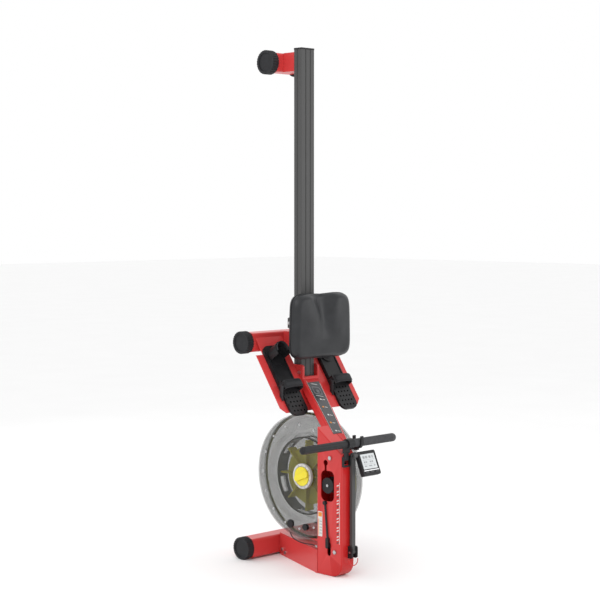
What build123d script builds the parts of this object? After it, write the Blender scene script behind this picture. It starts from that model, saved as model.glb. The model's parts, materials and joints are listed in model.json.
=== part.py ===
"""Rowing machine with a fluid tank, stored upright on its nose and front leg. Millimetres.

Every place is given by three distances:
  side  from the rail's centre plane, towards -X
  lift  from the foot plane, towards -Y (this is up when the machine lies in use)
  z     above the surface that the stored machine stands on
"""

import math
import os

from build123d import *

# Where the rail's centre plane and the foot plane lie, so that the origin is under the middle of the machine
RAIL_X = 89.0
FOOT_Y = 290.2

# Rail
RAIL_WIDTH = 70.0
RAIL_DEPTH = 41.0
RAIL_BOTTOM = 139.0
RAIL_TOP = RAIL_BOTTOM + RAIL_DEPTH
RAIL_FOOT_Z = 700.0
RAIL_END_Z = 1943.0

# Legs
BAR = 72.0
LEG_LIFT = 43.0
LEG_HALF = 195.0
REAR_LEG_HALF = 64.0
LEG_Z = {"front": 43.0, "middle": 832.0, "rear": 1898.0}
CAP_RADIUS = 43.0
CAP_LENGTH = 30.0

# Spine, nose and neck
SPINE_INNER = 112.0
SPINE_OUTER = 178.0
SPINE_MIDDLE = (SPINE_INNER + SPINE_OUTER) / 2
SPINE_BACK = 404.0
SPINE_FRONT = 528.0
SPINE_TOP = 452.0
NOSE_HEIGHT = 86.0
NECK_TOP = 690.0
NECK_HALF = 45.0
NECK_FRONT = 197.0
NECK_DEPTH = 38.5
FORK_BACK = 126.0
SPINE_SHOULDER = 541.0
SHEET = 3.0

# Tank
TANK_LIFT = 245.0
TANK_Z = 330.0
TANK_RADIUS = 240.0
TANK_SIDE = 57.0
TANK_HALF = 52.0
TANK_WALL = 4.0
AXLE_RADIUS = 10.0

# Footplates
SHEET_TOP = (79.3, 850.0)
SHEET_BOTTOM = (262.0, 582.0)
CARRIER_HALF = 215.0
FOOT_SIDE = 135.0
FOOT_WIDTH = 92.0
FOOT_LENGTH = 300.0

# Handle and its strap
HANDLE_LIFT = 545.0
HANDLE_Z = 492.0
HANDLE_SIDE = 158.0
HANDLE_HALF = 245.0
HANDLE_RADIUS = 14.0
STRAP_WIDTH = 24.0
STRAP_THICK = 2.0

# Console
ARM_SIDE = 130.0
ARM_WIDTH = 18.0
ARM_LIFT = 538.0
ARM_PIVOT_Z = 92.0
ARM_TOP_Z = 452.0

# Seat
SEAT_HALF = 152.0
SEAT_Z = 902.0
SEAT_LENGTH = 236.0
SEAT_LIFT = 227.0
SEAT_THICK = 53.0
UPPER_ROLLER = 14.0
LOWER_ROLLER = 11.0
GAP = 0.3


def point(side, lift, z):
    """The point at these three distances."""
    return (RAIL_X - side, FOOT_Y - lift, z)


def across(side):
    """Plane square to the sides: sketch in (lift, z), extrude towards +side."""
    return Plane(origin=point(side, 0, 0), x_dir=(0, -1, 0), z_dir=(-1, 0, 0))


def frontal(lift):
    """Plane facing the foot plane: sketch in (side, z), extrude towards the foot plane."""
    return Plane(origin=point(0, lift, 0), x_dir=(-1, 0, 0), z_dir=(0, 1, 0))


def level(z):
    """Horizontal plane: sketch in (side, lift), extrude upwards."""
    return Plane(origin=point(0, 0, z), x_dir=(-1, 0, 0), z_dir=(0, 0, 1))


def save(piece, label):
    """Labels a finished sub-part and writes it."""
    piece.part.label = label
    export_step(piece.part, f"parts/{label}.step")


os.makedirs("parts", exist_ok=True)

# ---------------------------------------------------------------- rail

with BuildPart() as rail:
    with BuildSketch(level(RAIL_FOOT_Z)):
        with Locations((0, RAIL_BOTTOM + RAIL_DEPTH / 2)):
            RectangleRounded(RAIL_WIDTH, RAIL_DEPTH, 3)
            RectangleRounded(RAIL_WIDTH - 8, RAIL_DEPTH - 8, 2, mode=Mode.SUBTRACT)
        with Locations((-12, RAIL_TOP), (12, RAIL_TOP)):
            Rectangle(5, 3.2, mode=Mode.SUBTRACT)
        with Locations((-RAIL_WIDTH / 2, RAIL_BOTTOM + 20), (RAIL_WIDTH / 2, RAIL_BOTTOM + 20)):
            Rectangle(2.4, 7, mode=Mode.SUBTRACT)
    extrude(amount=RAIL_END_Z - RAIL_FOOT_Z)
save(rail, "rail")

with BuildPart() as rail_end_cap:
    with BuildSketch(level(RAIL_END_Z)):
        with Locations((0, RAIL_BOTTOM + RAIL_DEPTH / 2)):
            RectangleRounded(RAIL_WIDTH + 2, RAIL_DEPTH + 2, 4)
    extrude(amount=6)
    fillet(rail_end_cap.faces().sort_by(Axis.Z)[-1].edges(), 2)
    with BuildSketch(level(RAIL_END_Z - 20)):
        with Locations((0, RAIL_BOTTOM + RAIL_DEPTH / 2)):
            RectangleRounded(RAIL_WIDTH - 9, RAIL_DEPTH - 9, 2)
    extrude(amount=20)
save(rail_end_cap, "rail_end_cap")

# ---------------------------------------------------------------- legs


def leg_bar(half_length, z):
    """A square tube across the machine, at the height z."""
    with BuildPart() as bar:
        with BuildSketch(across(-half_length)):
            with Locations((LEG_LIFT, z)):
                RectangleRounded(BAR, BAR, 8)
                RectangleRounded(BAR - 2 * SHEET, BAR - 2 * SHEET, 5, mode=Mode.SUBTRACT)
        extrude(amount=2 * half_length)
    return bar


save(leg_bar(LEG_HALF, LEG_Z["front"]), "front_leg_bar")
save(leg_bar(LEG_HALF, LEG_Z["middle"]), "middle_leg_bar")
save(leg_bar(REAR_LEG_HALF, LEG_Z["rear"]), "rear_leg_bar")

POST_HALF = 31.0
with BuildPart() as leg_posts:
    for post_z in (LEG_Z["middle"], LEG_Z["rear"]):
        with BuildSketch(frontal(RAIL_BOTTOM)):
            with Locations((0, post_z)):
                Rectangle(2 * POST_HALF, BAR)
                Rectangle(2 * POST_HALF - 2 * SHEET, BAR - 2 * SHEET, mode=Mode.SUBTRACT)
        extrude(amount=RAIL_BOTTOM - LEG_LIFT - BAR / 2)
save(leg_posts, "leg_posts")

CAP_RIBS = 28
with BuildPart() as leg_caps:
    for cap_z, half, radius in (
        (LEG_Z["front"], LEG_HALF, CAP_RADIUS),
        (LEG_Z["middle"], LEG_HALF, CAP_RADIUS),
        (LEG_Z["rear"], REAR_LEG_HALF, CAP_RADIUS + 3),
    ):
        for start, amount in ((half, CAP_LENGTH), (-half, -CAP_LENGTH)):
            with BuildSketch(across(start)):
                with Locations((LEG_LIFT, cap_z)):
                    Circle(radius)
                    with PolarLocations(radius + 0.6, CAP_RIBS):
                        Circle(2.2, mode=Mode.SUBTRACT)
            extrude(amount=amount)
            with BuildSketch(across(start + amount)):
                with Locations((LEG_LIFT, cap_z)):
                    Circle(radius * 0.78)
            extrude(amount=-math.copysign(3, amount), mode=Mode.SUBTRACT)
save(leg_caps, "leg_caps")

# ---------------------------------------------------------------- welded frame

NECK_BOTTOM_CENTRE = (SPINE_MIDDLE, SPINE_FRONT - NECK_DEPTH / 2)
NECK_BOTTOM_SIZE = (SPINE_OUTER - SPINE_INNER, NECK_DEPTH)
NECK_TOP_CENTRE = (0, NECK_FRONT - NECK_DEPTH / 2)
NECK_TOP_SIZE = (2 * NECK_HALF, NECK_DEPTH)


def neck(wall):
    """The slanted box between the rail's end and the spine, smaller by wall on every side."""
    with BuildPart() as beam:
        with BuildSketch(level(SPINE_TOP)):
            with Locations(NECK_BOTTOM_CENTRE):
                Rectangle(NECK_BOTTOM_SIZE[0] - 2 * wall, NECK_BOTTOM_SIZE[1] - 2 * wall)
        with BuildSketch(level(NECK_TOP)):
            with Locations(NECK_TOP_CENTRE):
                Rectangle(NECK_TOP_SIZE[0] - 2 * wall, NECK_TOP_SIZE[1] - 2 * wall)
        loft()
    return beam.part


PRESS_ROUND = 4.0
neck_outside = neck(0)
neck_inside = neck(SHEET)
neck_clearance = neck(-1)
with BuildPart() as neck_beam:
    add(neck_outside)
    fillet(neck_beam.edges().filter_by(lambda edge: abs(edge.tangent_at(0).Z) > 0.3), PRESS_ROUND)
    add(neck_inside, mode=Mode.SUBTRACT)
    with BuildSketch(across(SPINE_INNER)):
        with Locations((SPINE_BACK, SPINE_TOP - 10)):
            Rectangle(200, 200, align=(Align.MIN, Align.MIN))
    extrude(amount=100, mode=Mode.SUBTRACT)
save(neck_beam, "neck_beam")

FORK_TOP = 745.0
with BuildPart() as rail_fork:
    with BuildSketch(level(NECK_TOP)):
        with Locations((0, (FORK_BACK + NECK_FRONT) / 2)):
            Rectangle(2 * NECK_HALF, NECK_FRONT - FORK_BACK)
    extrude(amount=FORK_TOP - NECK_TOP)
    with BuildSketch(level(RAIL_FOOT_Z)):
        with Locations((0, RAIL_BOTTOM + 40)):
            Rectangle(RAIL_WIDTH, 80)
    extrude(amount=FORK_TOP - RAIL_FOOT_Z, mode=Mode.SUBTRACT)
    prong_corners = rail_fork.edges().filter_by(Axis.X).group_by(Axis.Z)[-1].sort_by(Axis.Y)[:2]
    fillet(prong_corners, 12)
save(rail_fork, "rail_fork")

NOSE_ROUND = 50.0
KEY_HOLE = (447.0, 414.0)
WINDOW = (457.0, 330.0)
WINDOW_SIZE = (66.0, 112.0)
HOOK_SLOT = (465.0, 100.0)
STRAP_SIDE = HANDLE_SIDE
with BuildPart() as spine_housing:
    with BuildSketch(across(SPINE_INNER)) as spine_outline:
        with BuildLine():
            Polyline(
                (SPINE_FRONT, NOSE_ROUND),
                (SPINE_FRONT, SPINE_TOP),
                (SPINE_BACK, SPINE_SHOULDER),
                (SPINE_BACK, 0),
                (SPINE_FRONT - NOSE_ROUND, 0),
            )
            RadiusArc((SPINE_FRONT - NOSE_ROUND, 0), (SPINE_FRONT, NOSE_ROUND), -NOSE_ROUND)
        make_face()
    extrude(amount=SPINE_OUTER - SPINE_INNER)
    fillet(spine_housing.faces().sort_by(Axis.X)[0].edges(), PRESS_ROUND)
    fillet(spine_housing.faces().sort_by(Axis.X)[-1].edges(), PRESS_ROUND)
    with BuildSketch(across(SPINE_INNER + SHEET)):
        add(across(0).to_local_coords(spine_outline.sketch))
        offset(amount=-SHEET, mode=Mode.REPLACE)
    extrude(amount=SPINE_OUTER - SPINE_INNER - 2 * SHEET, mode=Mode.SUBTRACT)
    with BuildSketch(across(SPINE_OUTER - 2 * SHEET)):
        with Locations(KEY_HOLE):
            Circle(11)
        with Locations((KEY_HOLE[0], KEY_HOLE[1] - 18)):
            Rectangle(11, 24)
        with Locations(WINDOW):
            RectangleRounded(*WINDOW_SIZE, 20)
        with Locations(HOOK_SLOT):
            SlotOverall(52, 18, rotation=90)
    extrude(amount=4 * SHEET, mode=Mode.SUBTRACT)
    with BuildSketch(frontal(SPINE_FRONT + SHEET)):
        with Locations((STRAP_SIDE, SPINE_TOP - 22)):
            Rectangle(STRAP_WIDTH + 6, 30)
    extrude(amount=3 * SHEET, mode=Mode.SUBTRACT)
save(spine_housing, "spine_housing")

ARM_FOOT = (-10.0, 52.0)
ARM_END = (SPINE_INNER, SPINE_OUTER)
LEG_FRONT = LEG_LIFT + BAR / 2
with BuildPart() as nose_arm:
    with BuildSketch(level(0)):
        with BuildLine():
            Polyline(
                (ARM_FOOT[0], LEG_FRONT),
                (ARM_FOOT[1], LEG_FRONT),
                (ARM_END[1], SPINE_BACK),
                (ARM_END[0], SPINE_BACK),
                close=True,
            )
        make_face()
    extrude(amount=NOSE_HEIGHT)
    with BuildSketch(level(SHEET)):
        with BuildLine():
            Polyline(
                (ARM_FOOT[0] + SHEET, LEG_FRONT + SHEET),
                (ARM_FOOT[1] - SHEET, LEG_FRONT + SHEET),
                (ARM_END[1] - SHEET, SPINE_BACK - SHEET),
                (ARM_END[0] + SHEET, SPINE_BACK - SHEET),
                close=True,
            )
        make_face()
    extrude(amount=NOSE_HEIGHT - 2 * SHEET, mode=Mode.SUBTRACT)
save(nose_arm, "nose_arm")

# ---------------------------------------------------------------- footplates

SLOPE = math.atan2(SHEET_BOTTOM[0] - SHEET_TOP[0], SHEET_TOP[1] - SHEET_BOTTOM[1])
SLOPE_NORMAL = (math.cos(SLOPE), math.sin(SLOPE))
CARRIER_THICK = 4.0
HEEL_Z = 806.0
HEEL_LIFT = SHEET_TOP[0] + (SHEET_TOP[1] - HEEL_Z) * math.tan(SLOPE)
UPPER_EDGE_Z = 788.0


def foot_plane(side, above=0.0):
    """Plane parallel to the footplates: x towards +side, y from heel to toe, z out towards the shoe."""
    return Plane(
        origin=point(side, HEEL_LIFT + above * SLOPE_NORMAL[0], HEEL_Z + above * SLOPE_NORMAL[1]),
        x_dir=(-1, 0, 0),
        z_dir=(0, -SLOPE_NORMAL[0], SLOPE_NORMAL[1]),
    )


with BuildPart() as footplate_carrier:
    with BuildSketch(across(-CARRIER_HALF)):
        with BuildLine():
            Polyline(
                SHEET_TOP,
                SHEET_BOTTOM,
                (
                    SHEET_BOTTOM[0] - CARRIER_THICK * SLOPE_NORMAL[0],
                    SHEET_BOTTOM[1] - CARRIER_THICK * SLOPE_NORMAL[1],
                ),
                (SHEET_TOP[0], SHEET_TOP[1] - CARRIER_THICK / math.sin(SLOPE)),
                close=True,
            )
        make_face()
    extrude(amount=2 * CARRIER_HALF)
    with BuildSketch(level(UPPER_EDGE_Z)):
        with Locations((CARRIER_HALF + 5, 100), (-CARRIER_HALF - 5, 100)):
            Rectangle(80, 100)
    extrude(amount=100, mode=Mode.SUBTRACT)
    with BuildSketch(level(NECK_TOP)):
        with Locations((0, 150)):
            Rectangle(2 * NECK_HALF, 200)
    extrude(amount=200, mode=Mode.SUBTRACT)
    add(neck_outside, mode=Mode.SUBTRACT)
    side_edges = footplate_carrier.edges().filter_by(
        lambda edge: edge.length < CARRIER_THICK * 1.2 and edge.center().Z < SHEET_BOTTOM[1]
    )
    chamfer(side_edges, 22)
save(footplate_carrier, "footplate_carrier")

FOOT_THICK = 10.0
TOE_HOLE = 4.0
for foot_name, foot_side in (("left_footplate", FOOT_SIDE), ("right_footplate", -FOOT_SIDE)):
    with BuildPart() as footplate:
        with BuildSketch(foot_plane(foot_side)):
            with Locations((0, FOOT_LENGTH / 2 - 10)):
                RectangleRounded(FOOT_WIDTH, FOOT_LENGTH, 30)
        extrude(amount=FOOT_THICK)
        with BuildSketch(foot_plane(foot_side, FOOT_THICK)):
            with Locations((0, FOOT_LENGTH - 66)):
                with GridLocations(17, 19, 4, 5):
                    Circle(TOE_HOLE)
        extrude(amount=-6, mode=Mode.SUBTRACT)
        with BuildSketch(foot_plane(foot_side, FOOT_THICK)):
            with Locations((-FOOT_WIDTH / 2 + 6, 90), (FOOT_WIDTH / 2 - 6, 90)):
                Rectangle(5, 150)
        extrude(amount=3)
        add(neck_clearance, mode=Mode.SUBTRACT)
    save(footplate, foot_name)

HEEL_FOOT = 42.0
for cup_name, foot_side in (("left_heel_cup", FOOT_SIDE), ("right_heel_cup", -FOOT_SIDE)):
    with BuildPart() as heel_cup:
        with BuildSketch(foot_plane(foot_side, FOOT_THICK + GAP)):
            with Locations((0, HEEL_FOOT)):
                SlotOverall(78, 70, rotation=90)
        extrude(amount=52)
        with BuildSketch(foot_plane(foot_side, FOOT_THICK + 5)):
            with Locations((0, HEEL_FOOT + 6)):
                SlotOverall(78, 60, rotation=90)
            with Locations((0, HEEL_FOOT + 42)):
                Rectangle(80, 60)
        extrude(amount=60, mode=Mode.SUBTRACT)
    save(heel_cup, cup_name)

STRAP_PLACE = 172.0
TOE_STRAP_HEIGHT = 46.0
with BuildPart() as foot_straps:
    for foot_side in (FOOT_SIDE, -FOOT_SIDE):
        strap_plane = foot_plane(foot_side)
        with BuildSketch(
            Plane(
                origin=strap_plane.from_local_coords((0, STRAP_PLACE - 18, 0)),
                x_dir=strap_plane.x_dir,
                z_dir=-strap_plane.y_dir,
            )
        ):
            with Locations((0, TOE_STRAP_HEIGHT / 2)):
                RectangleRounded(FOOT_WIDTH + 12, TOE_STRAP_HEIGHT, 14)
                RectangleRounded(FOOT_WIDTH + 7, TOE_STRAP_HEIGHT - 5, 12, mode=Mode.SUBTRACT)
            Rectangle(2 * FOOT_WIDTH, 2 * FOOT_THICK + 1, mode=Mode.SUBTRACT)
        extrude(amount=-36)
save(foot_straps, "foot_straps")

# ---------------------------------------------------------------- tank

TANK_AXIS = Axis(point(0, TANK_LIFT, TANK_Z), (-1, 0, 0))
RIM_RADIUS = 235.0
DISH_RADIUS = 172.0
DISH_DEPTH = 22.0
RIM_ROUND = 14.0
SEAM_HALF = 2.0
FLANGE_HALF = 8.0
BEARING_OUTER = 19.0


def shell_half(outward):
    """One half of the tank, turned about its axis; outward is 1 on the outer side, -1 on the rail's side."""
    face = TANK_HALF
    inner_face = face - TANK_WALL
    with BuildPart() as half:
        with BuildSketch(level(TANK_Z)):
            with BuildLine():
                for wall in (0, TANK_WALL):
                    corner = RIM_ROUND - wall
                    rim = RIM_RADIUS - wall
                    out = face - wall
                    dish = DISH_RADIUS + wall
                    Line(
                        (TANK_SIDE + outward * SEAM_HALF, TANK_LIFT + rim),
                        (TANK_SIDE + outward * (out - corner), TANK_LIFT + rim),
                    )
                    RadiusArc(
                        (TANK_SIDE + outward * (out - corner), TANK_LIFT + rim),
                        (TANK_SIDE + outward * out, TANK_LIFT + rim - corner),
                        outward * corner,
                    )
                    Polyline(
                        (TANK_SIDE + outward * out, TANK_LIFT + rim - corner),
                        (TANK_SIDE + outward * out, TANK_LIFT + dish),
                        (TANK_SIDE + outward * (out - DISH_DEPTH), TANK_LIFT + dish - 6),
                        (TANK_SIDE + outward * (out - DISH_DEPTH), TANK_LIFT + BEARING_OUTER),
                    )
                Line(
                    (TANK_SIDE + outward * SEAM_HALF, TANK_LIFT + RIM_RADIUS),
                    (TANK_SIDE + outward * SEAM_HALF, TANK_LIFT + RIM_RADIUS - TANK_WALL),
                )
                Line(
                    (TANK_SIDE + outward * (face - DISH_DEPTH), TANK_LIFT + BEARING_OUTER),
                    (TANK_SIDE + outward * (inner_face - DISH_DEPTH), TANK_LIFT + BEARING_OUTER),
                )
            make_face()
        revolve(axis=TANK_AXIS)
        with BuildSketch(across(TANK_SIDE + outward * SEAM_HALF)):
            with Locations((TANK_LIFT, TANK_Z)):
                Circle(TANK_RADIUS)
                Circle(RIM_RADIUS - 1, mode=Mode.SUBTRACT)
        extrude(amount=outward * (FLANGE_HALF - SEAM_HALF))
    return half


save(shell_half(1), "tank_left_shell")
save(shell_half(-1), "tank_right_shell")

with BuildPart() as tank_gasket:
    with BuildSketch(across(TANK_SIDE - SEAM_HALF)):
        with Locations((TANK_LIFT, TANK_Z)):
            Circle(TANK_RADIUS)
            Circle(RIM_RADIUS - TANK_WALL, mode=Mode.SUBTRACT)
    extrude(amount=2 * SEAM_HALF)
save(tank_gasket, "tank_gasket")

SCREWS = 16
SCREW_RING = 198.0
with BuildPart() as tank_screws:
    with BuildSketch(across(TANK_SIDE + TANK_HALF)):
        with Locations((TANK_LIFT, TANK_Z)):
            with PolarLocations(SCREW_RING, SCREWS):
                Circle(4.5)
    extrude(amount=2.5)
save(tank_screws, "tank_screws")

FILL_PLUG = (200.0, 146.0)
DRAIN_PLUG = (282.0, 144.0)
with BuildPart() as tank_plugs:
    with BuildSketch(across(TANK_SIDE + TANK_HALF)):
        with Locations(FILL_PLUG):
            Circle(16)
    extrude(amount=9)
    fillet(tank_plugs.faces().sort_by(Axis.X)[0].edges(), 3)
    with BuildSketch(across(TANK_SIDE + TANK_HALF)):
        with Locations(DRAIN_PLUG):
            Circle(12)
    extrude(amount=12)
save(tank_plugs, "tank_plugs")

FACE_IN = TANK_HALF - DISH_DEPTH
with BuildPart() as tank_bearings:
    for outward in (1, -1):
        with BuildSketch(across(TANK_SIDE + outward * (FACE_IN - TANK_WALL - 4))):
            with Locations((TANK_LIFT, TANK_Z)):
                Circle(BEARING_OUTER)
                Circle(AXLE_RADIUS + 0.05, mode=Mode.SUBTRACT)
        extrude(amount=outward * (TANK_WALL + 4))
save(tank_bearings, "tank_bearings")

RESERVOIR_RADIUS = 148.0
with BuildPart() as inner_reservoir:
    with BuildSketch(across(TANK_SIDE - FACE_IN + TANK_WALL)):
        with Locations((TANK_LIFT, TANK_Z)):
            Circle(RESERVOIR_RADIUS)
            Circle(RESERVOIR_RADIUS - 4, mode=Mode.SUBTRACT)
    extrude(amount=2 * (FACE_IN - TANK_WALL))
    with BuildSketch(across(TANK_SIDE - 14)):
        with Locations((TANK_LIFT, TANK_Z)):
            with PolarLocations(RESERVOIR_RADIUS, 6, start_angle=20):
                Rectangle(20, 60)
    extrude(amount=28, mode=Mode.SUBTRACT)
save(inner_reservoir, "inner_reservoir")

BLADES = 8
with BuildPart() as impeller:
    with BuildSketch(across(TANK_SIDE - 20)):
        with Locations((TANK_LIFT, TANK_Z)):
            Circle(34)
            with PolarLocations(0, BLADES):
                with Locations((78, 0)):
                    RectangleRounded(114, 5, 2)
    extrude(amount=40)
    with BuildSketch(across(TANK_SIDE - 3)):
        with Locations((TANK_LIFT, TANK_Z)):
            Circle(110)
    extrude(amount=6)
    with BuildSketch(across(TANK_SIDE - 25)):
        with Locations((TANK_LIFT, TANK_Z)):
            Circle(AXLE_RADIUS)
    extrude(amount=50, mode=Mode.SUBTRACT)
save(impeller, "impeller")

AXLE_END = TANK_SIDE - TANK_HALF - 34
with BuildPart() as tank_axle:
    with BuildSketch(across(AXLE_END)):
        with Locations((TANK_LIFT, TANK_Z)):
            Circle(AXLE_RADIUS)
    extrude(amount=TANK_SIDE + FACE_IN - AXLE_END - 1)
save(tank_axle, "tank_axle")

BEZEL_RADIUS = 48.0
DIAL_SIDE = TANK_SIDE + FACE_IN
with BuildPart() as dial_bezel:
    with BuildSketch(across(DIAL_SIDE)):
        with Locations((TANK_LIFT, TANK_Z)):
            Circle(BEZEL_RADIUS)
    extrude(amount=12)
    fillet(dial_bezel.faces().sort_by(Axis.X)[0].edges(), 3)
    with BuildSketch(across(DIAL_SIDE + 12)):
        with Locations((TANK_LIFT, TANK_Z)):
            Circle(BEZEL_RADIUS - 9)
    extrude(amount=-4, mode=Mode.SUBTRACT)
    with BuildSketch(across(DIAL_SIDE + 8)):
        with Locations((TANK_LIFT, TANK_Z)):
            Circle(6)
    extrude(amount=8)
save(dial_bezel, "dial_bezel")

DIAL_RADIUS = 36.0
with BuildPart() as resistance_dial:
    with BuildSketch(across(DIAL_SIDE + 8 + GAP)):
        with Locations((TANK_LIFT, TANK_Z)):
            Circle(DIAL_RADIUS)
    extrude(amount=5)
    with BuildSketch(across(DIAL_SIDE + 13 + GAP)):
        with Locations((TANK_LIFT, TANK_Z)):
            with Locations(Rotation(0, 0, 25)):
                SlotOverall(66, 24)
                with Locations((26, 0)):
                    Circle(15)
    extrude(amount=10)
    fillet(resistance_dial.faces().sort_by(Axis.X)[0].edges(), 2.5)
    with BuildSketch(across(DIAL_SIDE + 8)):
        with Locations((TANK_LIFT, TANK_Z)):
            Circle(6.05)
    extrude(amount=8.4, mode=Mode.SUBTRACT)
save(resistance_dial, "resistance_dial")

BRACKET_WIDTH = 26.0
with BuildPart() as tank_brackets:
    for bracket_z in (TANK_Z - 38, TANK_Z + 38):
        with BuildSketch(across(SPINE_INNER)):
            with Locations((SPINE_BACK + 14, bracket_z)):
                RectangleRounded(28, BRACKET_WIDTH, 5)
        extrude(amount=-(SPINE_INNER - TANK_SIDE - TANK_HALF))
save(tank_brackets, "tank_brackets")

SPOOL_SIDE = TANK_SIDE - TANK_HALF
SPOOL_RADIUS = 45.0
with BuildPart() as drive_spool:
    with BuildSketch(across(SPOOL_SIDE - 4)):
        with Locations((TANK_LIFT, TANK_Z)):
            Circle(SPOOL_RADIUS + 8)
            Circle(AXLE_RADIUS + 0.05, mode=Mode.SUBTRACT)
    extrude(amount=-3)
    with BuildSketch(across(SPOOL_SIDE - 7)):
        with Locations((TANK_LIFT, TANK_Z)):
            Circle(SPOOL_RADIUS)
            Circle(AXLE_RADIUS + 0.05, mode=Mode.SUBTRACT)
    extrude(amount=-20)
    with BuildSketch(across(SPOOL_SIDE - 27)):
        with Locations((TANK_LIFT, TANK_Z)):
            Circle(SPOOL_RADIUS + 8)
            Circle(AXLE_RADIUS + 0.05, mode=Mode.SUBTRACT)
    extrude(amount=-3)
save(drive_spool, "drive_spool")

COVER_RADIUS = 62.0
with BuildPart() as drive_cover:
    with BuildSketch(across(SPOOL_SIDE)):
        with Locations((TANK_LIFT, TANK_Z)):
            Circle(COVER_RADIUS)
    extrude(amount=-40)
    fillet(drive_cover.faces().sort_by(Axis.X)[-1].edges(), 6)
    with BuildSketch(across(SPOOL_SIDE)):
        with Locations((TANK_LIFT, TANK_Z)):
            Circle(COVER_RADIUS - 3)
    extrude(amount=-37, mode=Mode.SUBTRACT)
save(drive_cover, "drive_cover")

# ---------------------------------------------------------------- strap path inside the spine

UPPER_IDLER = (SPINE_FRONT - 18, SPINE_TOP - 46, 14.0)
LOWER_IDLER = (452.0, 330.0, 30.0)
IDLER_PIN = 5.0
for idler_name, (idler_lift, idler_z, idler_radius) in (
    ("upper_idler", UPPER_IDLER),
    ("lower_idler", LOWER_IDLER),
):
    with BuildPart() as idler:
        for start, amount, extra in (
            (STRAP_SIDE - STRAP_WIDTH / 2 - 3, 2.5, 4),
            (STRAP_SIDE - STRAP_WIDTH / 2 - 0.5, STRAP_WIDTH + 1, 0),
            (STRAP_SIDE + STRAP_WIDTH / 2 + 0.5, 2.5, 4),
        ):
            with BuildSketch(across(start)):
                with Locations((idler_lift, idler_z)):
                    Circle(idler_radius - 5 + extra)
                    Circle(IDLER_PIN + 0.05, mode=Mode.SUBTRACT)
            extrude(amount=amount)
    save(idler, idler_name)

with BuildPart() as idler_pins:
    for idler_lift, idler_z, _ in (UPPER_IDLER, LOWER_IDLER):
        with BuildSketch(across(SPINE_INNER + SHEET)):
            with Locations((idler_lift, idler_z)):
                Circle(IDLER_PIN)
        extrude(amount=SPINE_OUTER - SPINE_INNER - 2 * SHEET)
save(idler_pins, "idler_pins")

BUNGEE = 4.0
BUNGEE_SIDE = SPINE_OUTER + BUNGEE + 0.5
BUNGEE_ENDS = ((449.0, 268.0), (463.0, 122.0))
bungee_run = Edge.make_line(
    point(BUNGEE_SIDE, *BUNGEE_ENDS[0]),
    point(BUNGEE_SIDE, *BUNGEE_ENDS[1]),
)
with BuildPart() as bungee:
    with BuildSketch(Plane(origin=bungee_run @ 0, z_dir=bungee_run % 0)):
        Circle(BUNGEE)
    extrude(amount=bungee_run.length)
save(bungee, "bungee")

with BuildPart() as bungee_hooks:
    with BuildSketch(across(SPINE_OUTER)):
        with Locations(BUNGEE_ENDS[0]):
            Circle(7)
        with Locations((BUNGEE_ENDS[1][0], BUNGEE_ENDS[1][1])):
            SlotOverall(40, 13, rotation=90)
    extrude(amount=2 * BUNGEE + 3)
    add(bungee.part, mode=Mode.SUBTRACT)
save(bungee_hooks, "bungee_hooks")

# ---------------------------------------------------------------- sensor cable

CABLE_RADIUS = 2.0
CABLE_POINTS = [
    point(TANK_SIDE + TANK_HALF + 2.2, 196.0, 112.0),
    point(TANK_SIDE + TANK_HALF + 14, 220.0, 96.0),
    point(TANK_SIDE + TANK_HALF + 26, 264.0, 90.5),
    point(TANK_SIDE + TANK_HALF + 46, 318.0, 93.0),
    point(SPINE_OUTER - 22, 360.0, 96.5),
    point(SPINE_OUTER - 4, 402.0, 97.0),
]


def cable_radii(points):
    """The largest tangent arc that each corner's shorter run leaves room for."""
    radii = []
    for before, corner, after in zip(points, points[1:], points[2:]):
        first = Vector(corner) - Vector(before)
        second = Vector(after) - Vector(corner)
        shorter = min(first.length, second.length)
        radii.append(0.45 * shorter / math.tan(math.radians(first.get_angle(second)) / 2))
    return radii


print("cable radii", [round(radius) for radius in cable_radii(CABLE_POINTS)])
with BuildPart() as sensor_cable:
    with BuildLine() as cable_route:
        FilletPolyline(*CABLE_POINTS, radius=cable_radii(CABLE_POINTS))
    cable_wire = cable_route.wire()
    with BuildSketch(Plane(origin=cable_wire @ 0, z_dir=cable_wire % 0)):
        Circle(CABLE_RADIUS)
    sweep(path=cable_wire)
cable_volume = math.pi * CABLE_RADIUS**2 * cable_wire.length
print("cable volume ratio", round(sensor_cable.part.volume / cable_volume, 4))
save(sensor_cable, "sensor_cable")

# ---------------------------------------------------------------- handle, its holder and its strap

with BuildPart() as handle_bar:
    with BuildSketch(across(HANDLE_SIDE)):
        with Locations((HANDLE_LIFT, HANDLE_Z)):
            Circle(HANDLE_RADIUS)
    extrude(amount=HANDLE_HALF)
    fillet(handle_bar.faces().sort_by(Axis.X)[0].edges(), HANDLE_RADIUS * 0.7)
save(handle_bar, "handle_bar")

with BuildPart() as handle_grip:
    with BuildSketch(across(HANDLE_SIDE)):
        with Locations((HANDLE_LIFT, HANDLE_Z)):
            Circle(HANDLE_RADIUS + 1.5)
    extrude(amount=-HANDLE_HALF)
    fillet(handle_grip.faces().sort_by(Axis.X)[-1].edges(), HANDLE_RADIUS * 0.6)
save(handle_grip, "handle_grip")

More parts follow.
